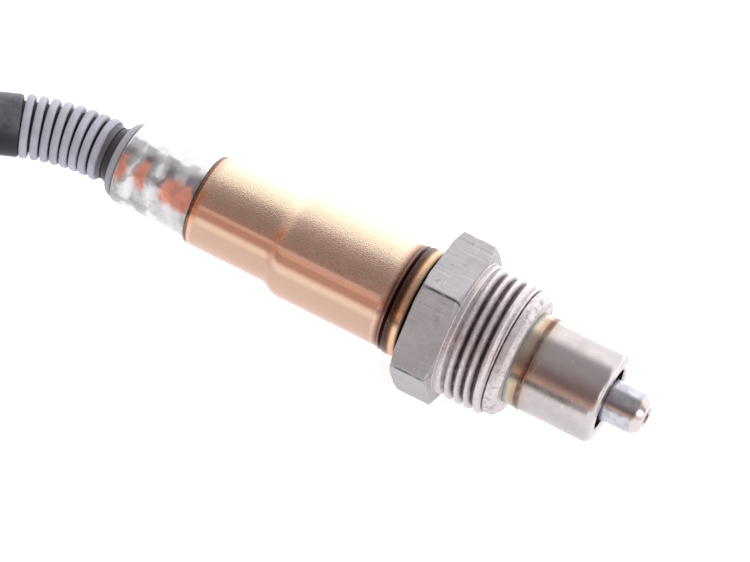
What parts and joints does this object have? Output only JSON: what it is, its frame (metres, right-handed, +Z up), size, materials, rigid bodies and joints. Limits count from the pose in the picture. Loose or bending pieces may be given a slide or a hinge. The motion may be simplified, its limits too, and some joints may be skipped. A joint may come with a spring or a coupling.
{
  "type": "nitrogen oxide sensor",
  "caption": "Screw-in exhaust gas sensor with hexagon body, steel protection tubes, heat-tinted sleeve, bellows hose and a coiled cable ending in a connector.",
  "frame": {"origin": "middle of the thread's length, on the sensor's axis", "axes": "+X along the sensor, out of its tip; +Z up, square to the hexagon's top flat, with the sensor lying on the opposite flat"},
  "size_m": [0.2012, 0.1265, 0.022],
  "materials": {
    "hex_steel": "matte",
    "tinted_steel": "satin",
    "tube_steel": "satin",
    "bright_steel": "polished",
    "dark_rubber": "satin",
    "hose_plastic": "matte",
    "cable_sheathing": "satin",
    "ceramic": "matte",
    "contact_metal": "satin",
    "lead_sleeving": "matte",
    "connector_plastic": "matte",
    "lock_plastic": "matte"
  },
  "bodies": {
    "root": {"inner_protection_tube": "bright_steel", "outer_protection_tube": "tube_steel", "housing": "hex_steel", "protective_sleeve": "tinted_steel", "crimp_shell": "bright_steel", "cable_grommet": "dark_rubber", "formed_hose": "hose_plastic", "cable_sheath": "cable_sheathing", "sensor_element": "ceramic", "front_ceramic_bush": "ceramic", "talc_seal": "ceramic", "rear_ceramic_bush": "ceramic", "press_ring": "tube_steel", "contact_holder_upper": "ceramic", "contact_holder_lower": "ceramic", "contact_springs": "contact_metal", "contact_clamp": "tube_steel", "lead_wires": "lead_sleeving", "cable_coil": "cable_sheathing", "cable_tail": "cable_sheathing", "coil_ties": "cable_sheathing", "connector_housing": "connector_plastic", "connector_boot": "dark_rubber", "connector_lock": "lock_plastic", "connector_terminals": "contact_metal"}
  },
  "joints": []
}
